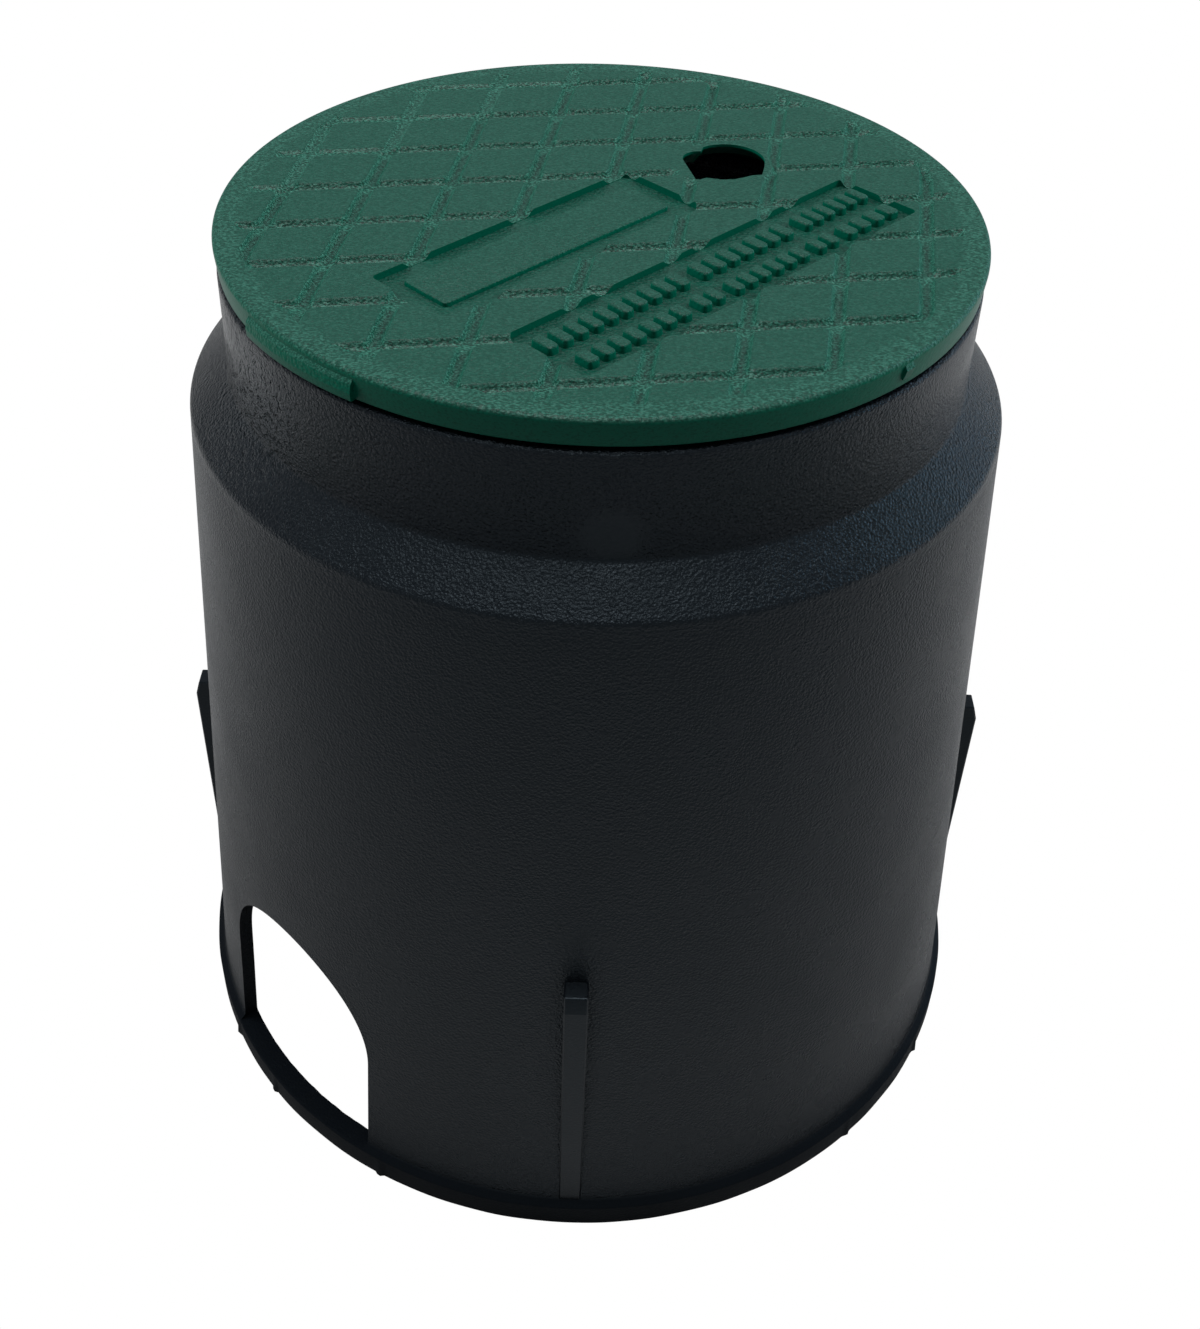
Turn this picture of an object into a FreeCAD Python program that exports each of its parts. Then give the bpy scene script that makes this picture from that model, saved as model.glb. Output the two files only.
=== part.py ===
import FreeCAD, Part
import os

import Sketcher

os.makedirs("parts", exist_ok=True)
doc = FreeCAD.newDocument("valve_box")

# Sizes in millimetres and degrees, one named value each
SIZES = [
    ("box_height", 228.6, "ground to the top of the closed lid"),
    ("lid_radius", 84.0, "outside of the lid; every other radius follows it"),
    ("lid_overhang", 0.3, "lid radius beyond the neck's top"),
    ("neck_draft", 0.2, "taper of the neck over its height"),
    ("shoulder_step", 9.5, "shoulder edge beyond the foot of the neck"),
    ("wall_flare", 12.7, "wall at the flange beyond the shoulder edge"),
    ("flange_lip", 2.1, "flange beyond the wall"),
    ("flange_side", 7.0, "upright outside face of the flange"),
    ("flange_slope", 1.6, "rise of the flange top towards the wall"),
    ("shoulder_drop", 40.1, "lid top down to the outer shoulder edge"),
    ("neck_foot_drop", 31.9, "lid top down to the foot of the neck"),
    ("neck_drop", 7.3, "lid top down to the neck's top face"),
    ("wall", 3.8, "wall thickness of box, shoulder and foot"),
    ("neck_wall", 3.4, "wall thickness of the neck"),
    ("seat_drop", 10.0, "neck top down to the seat that carries the lid"),
    ("seat_width", 4.2, "width of the seat ledge"),
    ("seat_thickness", 3.2, "thickness of the seat ledge"),
    ("shoulder_round", 2.0, "rounding of the outer shoulder edge"),
    ("rib_count", 4, "upright ribs around the wall"),
    ("rib_width", 5.6, "thickness of one rib"),
    ("rib_inset", 1.8, "outside face of the ribs, back from the flange edge"),
    ("rib_top", 89.0, "height of the rib tops"),
    ("rib_chamfer_in", 1.2, "rib top corner, inwards"),
    ("rib_chamfer_down", 4.2, "rib top corner, downwards"),
    ("rib_foot", 8.0, "height where the ribs run out on the flange"),
    ("rib_root", 2.2, "how far a rib's root reaches into the wall"),
    ("pipe_half_width", 28.0, "half width and arch radius of a pipe opening"),
    ("pipe_spring", 40.4, "height where the arch of the opening starts"),
    ("pipe_azimuth", -135.5, "direction of the opening at the left front"),
    ("lid_plate", 3.6, "thickness of the lid plate"),
    ("lid_round", 2.6, "rounding of the lid's top edge"),
    ("rim_height", 6.2, "height of the lid rim"),
    ("rim_draft", 0.6, "rim taper over its height"),
    ("rim_wall", 2.6, "thickness of the lid rim"),
    ("skirt_clearance", 0.9, "play between the locating skirt and the neck"),
    ("skirt_wall", 2.4, "thickness of the locating skirt"),
    ("under_ring_radius", 27.0, "outside of the stiffening ring under the lid"),
    ("under_ring_wall", 2.4, "thickness of the stiffening ring and ribs"),
    ("under_ring_depth", 6.4, "depth of the ring and ribs under the plate"),
    ("under_rib_count", 8, "stiffening ribs under the lid"),
    ("lid_turn", 45.96, "direction of the lid's long tread diagonal"),
    ("tread_half_angle", 36.75, "grooves run this far to each side of the diagonal"),
    ("tread_pitch", 17.55, "spacing of the tread grooves"),
    ("tread_lines", 9, "grooves in each direction"),
    ("tread_border", 5.6, "plain border outside the grooves"),
    ("groove_width", 2.9, "width of a groove at the top"),
    ("groove_floor", 1.5, "width of a groove at its floor"),
    ("groove_depth", 1.4, "depth of the grooves"),
    ("plate_depth", 1.5, "depth of the two sunk plates"),
    ("plan_radius", 84.0, "lid radius for which the places on the lid below are given"),
    ("name_start", -56.2, "first sunk plate, start along the diagonal"),
    ("name_end", 18.2, "first sunk plate, end along the diagonal"),
    ("name_low", -12.0, "first sunk plate, near edge"),
    ("name_high", 10.4, "first sunk plate, far edge"),
    ("name_margin", 4.5, "plain border around the raised blank field"),
    ("name_rise", 0.8, "height of the raised blank field"),
    ("bars_half", 51.2, "second sunk plate, half length"),
    ("bars_low", -46.8, "second sunk plate, near edge"),
    ("bars_high", -25.2, "second sunk plate, far edge"),
    ("bar_rise", 1.8, "height of the raised bars"),
    ("upper_bar_low", -35.2, "upper row of bars, near edge"),
    ("upper_bar_high", -29.6, "upper row of bars, far edge"),
    ("lower_bar_low", -44.0, "lower row of bars, near edge"),
    ("lower_bar_high", -39.3, "lower row of bars, far edge"),
    ("hole_x", 28.2, "lift hole, sideways from the axis"),
    ("hole_y", 27.3, "lift hole, back from the axis"),
    ("hole_radius", 9.2, "lift hole"),
    ("lobe_x", 21.9, "small lobe of the lift hole, sideways"),
    ("lobe_y", 28.8, "small lobe of the lift hole, back"),
    ("lobe_radius", 3.8, "small lobe of the lift hole"),
    ("spur_x", 20.9, "broken corner of the lift hole, sideways"),
    ("spur_y", 17.2, "broken corner of the lift hole, back"),
    ("tab_azimuth", -134.2, "middle of the raised tab on the rim"),
    ("tab_angle", 22.4, "angle the tab covers"),
    ("tab_rise", 0.9, "how far the tab stands out"),
    ("tab_drop", 1.6, "lid top down to the tab"),
    ("nib_azimuth", -36.7, "middle of the small moulding nib on the rim"),
    ("nib_angle", 2.5, "angle the nib covers"),
    ("nib_rise", 0.7, "how far the nib stands out"),
    ("nib_drop", 3.8, "lid top down to the nib"),
]
UPPER_BARS = [(-49.4, -9.2), (-5.2, 23.6), (27.6, 49.2)]
LOWER_BARS = [(-47.2, -18.2), (-15.0, -8.2), (-5.0, 18.4), (21.4, 28.2), (31.2, 48.6)]

sheet = doc.addObject("Spreadsheet::Sheet", "sizes")
row = 1
for alias, number, note in SIZES:
    sheet.set("A%d" % row, alias)
    sheet.set("B%d" % row, str(number))
    sheet.set("C%d" % row, note)
    sheet.setAlias("B%d" % row, alias)
    row += 1
for name, bars in (("upper", UPPER_BARS), ("lower", LOWER_BARS)):
    for k, (start, end) in enumerate(bars):
        for word, number in (("start", start), ("end", end)):
            alias = "%s_bar_%s_%s" % (name, word, "abcde"[k])
            sheet.set("A%d" % row, alias)
            sheet.set("B%d" % row, str(number))
            sheet.setAlias("B%d" % row, alias)
            row += 1
doc.recompute()


def named(expression):
    """Put the sheet's name before each of its aliases in an expression."""
    out, word = "", ""
    for ch in expression + " ":
        if ch.isalnum() or ch == "_":
            word += ch
            continue
        if word and word[0].isalpha() and word not in ("sin", "cos", "tan", "sqrt", "deg"):
            word = "sizes." + word
        out += word + ch
        word = ""
    return out.strip()


def number(expression):
    """Present value of an expression in the sheet's names."""
    found = sheet.evalExpression(named(expression))
    return float(getattr(found, "Value", found))


def bind(thing, prop, expression):
    thing.setExpression(prop, named(expression))


def plane(body, role):
    return [f for f in body.Origin.OriginFeatures if f.Role == role][0]


def on_lid(place):
    """Place on the lid, kept in proportion to the lid's radius."""
    return "%s * lid_radius / plan_radius" % place


def sketch_on(body, name, role, turn=None, lift=None):
    """Empty sketch on an origin plane, turned about the upright axis or lifted along its normal."""
    sk = body.newObject("Sketcher::SketchObject", name)
    sk.AttachmentSupport = [(plane(body, role), "")]
    sk.MapMode = "FlatFace"
    axis = FreeCAD.Vector(0, 1, 0) if role == "XZ_Plane" else FreeCAD.Vector(0, 0, 1)
    if turn:
        sk.AttachmentOffset = FreeCAD.Placement(FreeCAD.Vector(0, 0, 0), FreeCAD.Rotation(axis, number(turn)))
        bind(sk, "AttachmentOffset.Rotation.Angle", turn)
    if lift:
        bind(sk, "AttachmentOffset.Base.z", lift)
    return sk


def outline(sk, points):
    """Closed outline whose corners stand at expressions of the sheet's names."""
    first = sk.GeometryCount
    spots = [FreeCAD.Vector(number(x), number(y), 0) for x, y in points]
    n = len(spots)
    for k in range(n):
        sk.addGeometry(Part.LineSegment(spots[k], spots[(k + 1) % n]), False)
    for k in range(n):
        sk.addConstraint(Sketcher.Constraint("Coincident", first + k, 2, first + (k + 1) % n, 1))
    for k, (x, y) in enumerate(points):
        for kind, expression, value in (("DistanceX", x, spots[k].x), ("DistanceY", y, spots[k].y)):
            index = sk.addConstraint(Sketcher.Constraint(kind, -1, 1, first + k, 1, value))
            bind(sk, "Constraints[%d]" % index, expression)


def circle(sk, x, y, radius):
    first = sk.GeometryCount
    spot = FreeCAD.Vector(number(x), number(y), 0)
    sk.addGeometry(Part.Circle(spot, FreeCAD.Vector(0, 0, 1), number(radius)), False)
    for kind, expression, value in (("DistanceX", x, spot.x), ("DistanceY", y, spot.y)):
        index = sk.addConstraint(Sketcher.Constraint(kind, -1, 1, first, 3, value))
        bind(sk, "Constraints[%d]" % index, expression)
    index = sk.addConstraint(Sketcher.Constraint("Radius", first, number(radius)))
    bind(sk, "Constraints[%d]" % index, radius)


def revolved(body, name, sk, angle=None):
    turned = body.newObject("PartDesign::Revolution", name)
    turned.Profile = sk
    turned.ReferenceAxis = (sk, ["V_Axis"])
    turned.Angle = 360.0
    if angle:
        turned.Midplane = True
        bind(turned, "Angle", angle)
    sk.Visibility = False
    return turned


def padded(body, name, sk, length, middle=False, down=False):
    pad = body.newObject("PartDesign::Pad", name)
    pad.Profile = sk
    pad.Midplane = middle
    pad.Reversed = down
    bind(pad, "Length", length)
    sk.Visibility = False
    return pad


def pocketed(body, name, sk, length, middle=False):
    cut = body.newObject("PartDesign::Pocket", name)
    cut.Profile = sk
    cut.Midplane = middle
    bind(cut, "Length", length)
    sk.Visibility = False
    return cut


def around(body, name, feature, sk, count):
    ring = body.newObject("PartDesign::PolarPattern", name)
    ring.Originals = [feature]
    ring.Axis = (sk, ["V_Axis"])
    ring.Angle = 360.0
    bind(ring, "Occurrences", count)
    body.Tip = ring
    return ring


def rounded(body, name, base, rings):
    """Round the circular edges that stand at the given radii and heights."""
    doc.recompute()
    names = []
    for radius, height in rings:
        for k, edge in enumerate(base.Shape.Edges):
            curve = edge.Curve
            if isinstance(curve, Part.Circle) and abs(curve.Radius - number(radius)) < 0.02 \
                    and abs(curve.Center.z - number(height)) < 0.02:
                names.append("Edge%d" % (k + 1))
    fillet = body.newObject("PartDesign::Fillet", name)
    fillet.Base = (base, names)
    return fillet


# The box: turned shell, rounded edges, ribs around it and the two pipe openings
box = doc.addObject("PartDesign::Body", "box")
profile = sketch_on(box, "box_profile", "XZ_Plane")
neck = "(lid_radius - lid_overhang)"
neck_foot = "(lid_radius - lid_overhang + neck_draft)"
shoulder = "(lid_radius - lid_overhang + neck_draft + shoulder_step)"
wall_foot = "(lid_radius - lid_overhang + neck_draft + shoulder_step + wall_flare)"
flange = "(lid_radius - lid_overhang + neck_draft + shoulder_step + wall_flare + flange_lip)"
top = "box_height - neck_drop"
seat = "(box_height - neck_drop - seat_drop)"
inner = "(lid_radius - lid_overhang - neck_wall)"
ledge = "(lid_radius - lid_overhang - neck_wall - seat_width)"
slope = "wall_flare / (box_height - shoulder_drop - flange_side - flange_slope)"
outline(profile, [
    (flange, "0"),
    (flange, "flange_side"),
    (wall_foot, "flange_side + flange_slope"),
    (shoulder, "box_height - shoulder_drop"),
    (neck_foot, "box_height - neck_foot_drop"),
    (neck, top),
    (inner, top),
    (inner, seat),
    (ledge, seat),
    (ledge, seat + " - seat_thickness"),
    (inner, "box_height - neck_foot_drop - 0.8 * wall"),
    (shoulder + " - wall", "box_height - shoulder_drop - 0.7 * wall"),
    (wall_foot + " - wall + (flange_side + flange_slope) * " + slope, "0"),
])
shell = revolved(box, "box_shell", profile)
outer = rounded(box, "shoulder_edge", shell, [(shoulder, "box_height - shoulder_drop")])
bind(outer, "Radius", "shoulder_round")

rib_profile = sketch_on(box, "rib_profile", "XZ_Plane")
wall_at_top = "(%s + (box_height - shoulder_drop - rib_top) * %s)" % (shoulder, slope)
wall_at_foot = "(%s + (box_height - shoulder_drop - rib_foot) * %s)" % (shoulder, slope)
outline(rib_profile, [
    (wall_at_top + " - rib_root", "rib_top"),
    (flange + " - rib_inset - rib_chamfer_in", "rib_top"),
    (flange + " - rib_inset", "rib_top - rib_chamfer_down"),
    (flange + " - rib_inset", "rib_foot"),
    (wall_at_foot + " - rib_root", "rib_foot"),
])
rib = padded(box, "rib", rib_profile, "rib_width", middle=True)
ribs = around(box, "ribs", rib, rib_profile, "rib_count")

# Each pipe opening is an upright slot with a round head, cut through both walls at once
slot_sketch = sketch_on(box, "opening_slot", "XZ_Plane", turn="pipe_azimuth + 90")
outline(slot_sketch, [("-pipe_half_width", "flange_side"), ("pipe_half_width", "flange_side"),
                      ("pipe_half_width", "pipe_spring"), ("-pipe_half_width", "pipe_spring")])
pocketed(box, "opening_slots", slot_sketch, flange + " * 2.4", middle=True)
head_sketch = sketch_on(box, "opening_head", "XZ_Plane", turn="pipe_azimuth + 90")
circle(head_sketch, "0", "pipe_spring", "pipe_half_width")
pocketed(box, "opening_heads", head_sketch, flange + " * 2.4", middle=True)
box.Label = "box_body"

# The lid: turned plate with rim, locating skirt and stiffening ring
lid = doc.addObject("PartDesign::Body", "lid_blank")
lid_profile = sketch_on(lid, "lid_profile", "XZ_Plane")
plate_under = "(box_height - lid_plate)"
rim_foot = "box_height - rim_height"
skirt_out = "(lid_radius - lid_overhang - neck_wall - skirt_clearance)"
skirt_in = "(lid_radius - lid_overhang - neck_wall - skirt_clearance - skirt_wall)"
ring_out = on_lid("under_ring_radius")
ring_foot = "box_height - lid_plate - under_ring_depth"
eased_edge = [("lid_radius - lid_round * (1 - sin(%d deg))" % turn,
               "box_height - lid_round * (1 - cos(%d deg))" % turn) for turn in (0, 30, 60, 90)]
outline(lid_profile, [
    ("0", "box_height"),
] + eased_edge + [
    ("lid_radius - rim_draft", rim_foot),
    ("lid_radius - rim_draft - rim_wall", rim_foot),
    ("lid_radius - rim_draft - rim_wall", plate_under),
    (skirt_out, plate_under),
    (skirt_out, seat),
    (skirt_in, seat),
    (skirt_in, plate_under),
    (ring_out, plate_under),
    (ring_out, ring_foot),
    (ring_out + " - under_ring_wall", ring_foot),
    (ring_out + " - under_ring_wall", plate_under),
    ("0", plate_under),
])
revolved(lid, "lid_plate_and_rim", lid_profile)
under_profile = sketch_on(lid, "under_rib_profile", "XZ_Plane", turn="lid_turn + 22.5")
outline(under_profile, [
    (ring_out + " - under_ring_wall / 2", plate_under + " + 0.4"),
    (skirt_in + " + skirt_wall / 2", plate_under + " + 0.4"),
    (skirt_in + " + skirt_wall / 2", ring_foot),
    (ring_out + " - under_ring_wall / 2", ring_foot),
])
under_rib = padded(lid, "under_rib", under_profile, "under_ring_wall", middle=True)
under_ribs = around(lid, "under_ribs", under_rib, under_profile, "under_rib_count")
tab_profile = sketch_on(lid, "tab_profile", "XZ_Plane", turn="tab_azimuth")
outline(tab_profile, [
    ("lid_radius - rim_wall", "box_height - tab_drop"),
    ("lid_radius + tab_rise * 0.7", "box_height - tab_drop"),
    ("lid_radius + tab_rise", "box_height - tab_drop - 0.8"),
    ("lid_radius + tab_rise", "box_height - rim_height"),
    ("lid_radius - rim_wall", "box_height - rim_height"),
])
revolved(lid, "rim_tab", tab_profile, angle="tab_angle")
nib_profile = sketch_on(lid, "nib_profile", "XZ_Plane", turn="nib_azimuth")
outline(nib_profile, [
    ("lid_radius - rim_wall", "box_height - nib_drop"),
    ("lid_radius", "box_height - nib_drop"),
    ("lid_radius + nib_rise", "box_height - nib_drop - nib_rise"),
    ("lid_radius + nib_rise", "box_height - rim_height"),
    ("lid_radius - rim_wall", "box_height - rim_height"),
])
revolved(lid, "rim_nib", nib_profile, angle="nib_angle")

# Sunk plates and the lift hole, cut from the top
name_sketch = sketch_on(lid, "name_plate", "XY_Plane", turn="lid_turn", lift="box_height")
name_ends = [on_lid("name_start"), on_lid("name_end")]
name_sides = [on_lid("name_low"), on_lid("name_high")]
outline(name_sketch, [(name_ends[0], name_sides[0]), (name_ends[1], name_sides[0]),
                      (name_ends[1], name_sides[1]), (name_ends[0], name_sides[1])])
pocketed(lid, "name_recess", name_sketch, "plate_depth")
bars_sketch = sketch_on(lid, "bars_plate", "XY_Plane", turn="lid_turn", lift="box_height")
bars_end = on_lid("bars_half")
bars_sides = [on_lid("bars_low"), on_lid("bars_high")]
outline(bars_sketch, [("-" + bars_end, bars_sides[0]), (bars_end, bars_sides[0]),
                      (bars_end, bars_sides[1]), ("-" + bars_end, bars_sides[1])])
pocketed(lid, "bars_recess", bars_sketch, "plate_depth")
hole_sketch = sketch_on(lid, "lift_hole_outline", "XY_Plane", lift="box_height")
hole = (on_lid("hole_x"), on_lid("hole_y"))
circle(hole_sketch, hole[0], hole[1], "hole_radius")
pocketed(lid, "lift_hole", hole_sketch, "rim_height + under_ring_depth")
lobe_sketch = sketch_on(lid, "lobe_outline", "XY_Plane", lift="box_height")
lobe = (on_lid("lobe_x"), on_lid("lobe_y"))
circle(lobe_sketch, lobe[0], lobe[1], "lobe_radius")
pocketed(lid, "lift_lobe", lobe_sketch, "rim_height + under_ring_depth")
spur_sketch = sketch_on(lid, "spur_outline", "XY_Plane", lift="box_height")
outline(spur_sketch, [(lobe[0] + " - lobe_radius * 0.98", lobe[1] + " - 1"),
                      (on_lid("spur_x"), on_lid("spur_y")),
                      (hole[0], hole[1] + " - hole_radius * 0.96"), hole])
pocketed(lid, "lift_spur", spur_sketch, "rim_height + under_ring_depth")

# Tread grooves: one sloped groove, repeated, in two directions, ended by the border circle
border = doc.addObject("Part::Cylinder", "tread_border")
bind(border, "Radius", "lid_radius - tread_border")
bind(border, "Height", "groove_depth * 3")
bind(border, "Placement.Base.z", "box_height - groove_depth")
sets = []
for side, sign in (("left", "-"), ("right", "+")):
    lines = doc.addObject("PartDesign::Body", "grooves_" + side)
    groove_sketch = sketch_on(lines, "groove_" + side, "XZ_Plane",
                              turn="lid_turn %s tread_half_angle + 90" % sign)
    first_line = "(-tread_pitch * (tread_lines - 1) / 2)"
    outline(groove_sketch, [
        (first_line + " - groove_floor / 2", "box_height - groove_depth"),
        (first_line + " + groove_floor / 2", "box_height - groove_depth"),
        (first_line + " + groove_width / 2", "box_height"),
        (first_line + " + groove_width / 2", "box_height + groove_depth"),
        (first_line + " - groove_width / 2", "box_height + groove_depth"),
        (first_line + " - groove_width / 2", "box_height"),
    ])
    groove = padded(lines, "groove_line_" + side, groove_sketch, "lid_radius * 2", middle=True)
    repeat = lines.newObject("PartDesign::LinearPattern", "groove_lines_" + side)
    repeat.Originals = [groove]
    repeat.Direction = (groove_sketch, ["H_Axis"])
    bind(repeat, "Length", "tread_pitch * (tread_lines - 1)")
    bind(repeat, "Occurrences", "tread_lines")
    lines.Tip = repeat
    sets.append(lines)
both = doc.addObject("Part::Fuse", "groove_net")
both.Base, both.Tool = sets
net = doc.addObject("Part::Common", "tread_grooves")
net.Base = both
net.Tool = border
treaded = doc.addObject("Part::Cut", "lid_treaded")
treaded.Base = lid
treaded.Tool = net

# Raised bars and a raised blank field stand on the floors of the sunk plates
raised = doc.addObject("PartDesign::Body", "raised_fields")
floor = "box_height - plate_depth - 0.3"
field_sketch = sketch_on(raised, "blank_field", "XY_Plane", turn="lid_turn", lift=floor)
field_ends = [name_ends[0] + " + name_margin", name_ends[1] + " - name_margin"]
field_sides = [name_sides[0] + " + name_margin", name_sides[1] + " - name_margin"]
outline(field_sketch, [(field_ends[0], field_sides[0]), (field_ends[1], field_sides[0]),
                       (field_ends[1], field_sides[1]), (field_ends[0], field_sides[1])])
padded(raised, "blank_field_pad", field_sketch, "name_rise + 0.3")
raised_bars = doc.addObject("PartDesign::Body", "raised_bars")
bar_sketch = sketch_on(raised_bars, "bar_rows", "XY_Plane", turn="lid_turn", lift=floor)
for name, bars in (("upper", UPPER_BARS), ("lower", LOWER_BARS)):
    for k in range(len(bars)):
        start, end = (on_lid("%s_bar_%s_%s" % (name, word, "abcde"[k])) for word in ("start", "end"))
        low, high = on_lid(name + "_bar_low"), on_lid(name + "_bar_high")
        outline(bar_sketch, [(start, low), (end, low), (end, high), (start, high)])
padded(raised_bars, "bar_pads", bar_sketch, "bar_rise + 0.3")
lid_part = doc.addObject("Part::MultiFuse", "lid")
lid_part.Shapes = [treaded, raised, raised_bars]
lid_part.Label = "lid"

doc.recompute()
for item in doc.Objects:
    if "Invalid" in item.State or "Error" in item.State:
        raise RuntimeError("%s did not build" % item.Label)
for node in (box, lid_part):
    shape = node.Shape
    if shape.isNull() or not shape.isValid():
        raise RuntimeError("%s has no valid shape" % node.Label)
    shape.exportStep("parts/%s.step" % node.Label)
    print("%s: %d solid, %.1f cm3" % (node.Label, len(shape.Solids), shape.Volume / 1000.0))
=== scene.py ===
import math

import bmesh
import bpy
import numpy as np
from mathutils import Matrix, Vector
from mathutils import noise


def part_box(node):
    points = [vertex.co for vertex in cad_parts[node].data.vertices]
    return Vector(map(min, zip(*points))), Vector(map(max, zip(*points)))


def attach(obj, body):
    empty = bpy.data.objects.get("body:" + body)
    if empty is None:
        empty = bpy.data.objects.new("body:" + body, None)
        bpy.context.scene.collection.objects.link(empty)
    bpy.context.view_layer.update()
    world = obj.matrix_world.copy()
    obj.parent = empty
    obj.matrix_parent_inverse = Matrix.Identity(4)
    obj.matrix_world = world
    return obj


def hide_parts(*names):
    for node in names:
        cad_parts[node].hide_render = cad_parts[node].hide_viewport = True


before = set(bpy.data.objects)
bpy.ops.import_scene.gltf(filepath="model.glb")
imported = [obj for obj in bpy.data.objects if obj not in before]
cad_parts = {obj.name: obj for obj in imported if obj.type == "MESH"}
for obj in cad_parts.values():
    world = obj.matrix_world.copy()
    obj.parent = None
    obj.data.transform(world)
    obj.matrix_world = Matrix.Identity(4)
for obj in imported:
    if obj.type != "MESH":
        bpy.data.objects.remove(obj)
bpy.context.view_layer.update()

MM = 0.001


def millimetres(corner):
    """Corner of a CAD node's box in whole tenths of a millimetre."""
    return [round(c / MM, 1) for c in corner]


lid_low, lid_high = (millimetres(corner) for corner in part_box("lid"))
box_high = millimetres(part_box("box_body")[1])

# Sizes that the frame gives, and how far the lid stands above the neck
LID_R = lid_high[0]
SEAT_Z = lid_low[2]
FOOT_R = box_high[0]
NECK_TOP = box_high[2]
LID_PROUD = 7.3
TOP = NECK_TOP + LID_PROUD

# Lid: rim, plate and what stands under it
LID_ROUND = 2.6
RIM_H = 6.2
RIM_WALL = 2.6
RIM_FOOT_R = LID_R - 0.6
PLATE_T = 3.6
PLATE_UNDER = TOP - PLATE_T
SKIRT_R = LID_R - 4.6
SKIRT_WALL = 2.4
UNDER_RING_R = 27.0
UNDER_WALL = 2.4
UNDER_DEPTH = 6.4
UNDER_RIBS = 8
TAB_FROM, TAB_TO = -145.4, -123.0
PIP_TURN = -44.5

# Lid: tread, with its plan turned along a diagonal
TURN = math.radians(45.96)
HALF = math.radians(36.75)
PITCH = 17.55
FIELD_R = LID_R - 5.6
GROOVE_HALF = 1.62
GROOVE_SECTION = ((-1.62, 1.40), (-1.10, 1.30), (-0.80, 1.10), (-0.50, 0.78),
                  (-0.25, 0.46), (-0.05, 0.18), (0.15, 0.04), (0.40, 0.0))
GROOVE_LINES = (0.45, 0.8, 1.1, 1.35, 1.57, 1.75, 1.95, 2.3, 2.9)
PAD_LINES = 10
PAD_CORNER = 1.3
SHALLOW_FROM = 55.3
SHALLOW_BY = 0.42

# Lid: lift hole with a side lobe and a broken near edge
HOLE = (28.6, 27.7, 8.55)
LOBE = (22.2, 27.9, 4.0)
BROKEN_EDGE = [(19.5, 22.3), (20.9, 17.0), (21.9, 16.9), (23.3, 17.9), (25.3, 17.5), (27.0, 17.2),
               (29.8, 17.6), (32.1, 18.8), (33.9, 19.9), (36.1, 20.4), (36.7, 23.6)]
HOLE_LIP = 0.6
HOLE_FLARE = 1.42
FLARE_MIDDLE = (27.0, 26.5)
FLAT_MIDDLE = (27.0, 25.5)
FLAT_R = 10.9

# Lid: sunk plates, the raised field in one and the rows of blocks in the other
SUNK = 1.5
FIELD_PLATE = (-56.2, 18.2, -12.0, 10.4)
RAISED_FIELD = (-51.7, 13.7, -7.5, 5.9)
BARS_PLATE = (-51.2, 51.2, -46.8, -25.2)
UPPER_ROW = (-35.2, -29.6)
LOWER_ROW = (-44.0, -39.3)
UPPER_BARS = ((-49.4, -9.2), (-5.2, 23.6), (27.6, 49.2))
LOWER_BARS = ((-47.2, -18.2), (-15.0, -8.2), (-5.0, 18.4), (21.4, 28.2), (31.2, 48.6))
BLOCK_PITCH = 3.9
BLOCK_GAP = 1.4
BLOCK_H = 1.75

# Box: section through wall, shoulder, neck and seat ledge, as radius, height and corner rounding
FLANGE_T = 7.0
WALL_FOOT = (FOOT_R - 2.1, 8.6)
SHOULDER = (LID_R + 9.4, NECK_TOP - 32.8)
NECK_FOOT = (LID_R - 0.1, NECK_TOP - 24.6)
NECK_INSIDE = LID_R - 3.7
LEDGE_R = LID_R - 7.9
WALL_INSIDE = FOOT_R - 5.9
PROFILE = [
    (FOOT_R, 0.0, 0.5), (FOOT_R, FLANGE_T, 0.7), (*WALL_FOOT, 0.9), (*SHOULDER, 2.2), (*NECK_FOOT, 1.6),
    (LID_R - 0.3, NECK_TOP, 1.1), (NECK_INSIDE, NECK_TOP, 0.4), (NECK_INSIDE, SEAT_Z, 0.3),
    (LEDGE_R, SEAT_Z, 0.5), (LEDGE_R, SEAT_Z - 3.2, 0.5), (NECK_INSIDE, SEAT_Z - 5.7, 1.0),
    (NECK_INSIDE, NECK_TOP - 27.6, 1.2), (SHOULDER[0] - 3.8, NECK_TOP - 35.5, 1.6),
    (WALL_INSIDE, WALL_FOOT[1], 0.0), (WALL_INSIDE, 0.0, 0.5),
]
BURRS = ((-151.4, 0.8), (-139.2, 0.9), (-117.7, 0.9), (-46.6, 0.7), (-27.4, 0.9))
BURR_HALF_DEGREES = 0.7
WAVES_FROM, WAVES_FULL, WAVES_TO = 12, 30, 186
AROUND = 720

# Box: pipe openings and upright ribs
ARCH_TURN = math.radians(-135.5)
ARCH_HALF = 28.0
ARCH_SPRING = 40.4
ARCH_FOOT = 7.3
RIB_TOP = 89.0
RIB_R = 106.4
RIB_HALF = 2.8
RIB_EASE = 0.35
RIB_PROFILE = [(98.5, RIB_TOP, 0), (RIB_R - 1.2, RIB_TOP, 0.5), (RIB_R, RIB_TOP - 4.2, 0.6),
               (RIB_R, 8.0, 0), (102.5, 8.0, 0)]

# Box: places in its skin, as centre, full reach and faded reach
SMOOTH_SPOT = ((4.0, -83.8, 202.0), 4.0, 9.0)
PITTED_SPOT = ((-72.5, -41.9, 208.0), 7.0, 26.0)

PALE_FLOOR = 0.24
FLOOR_REACH = 6000

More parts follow.
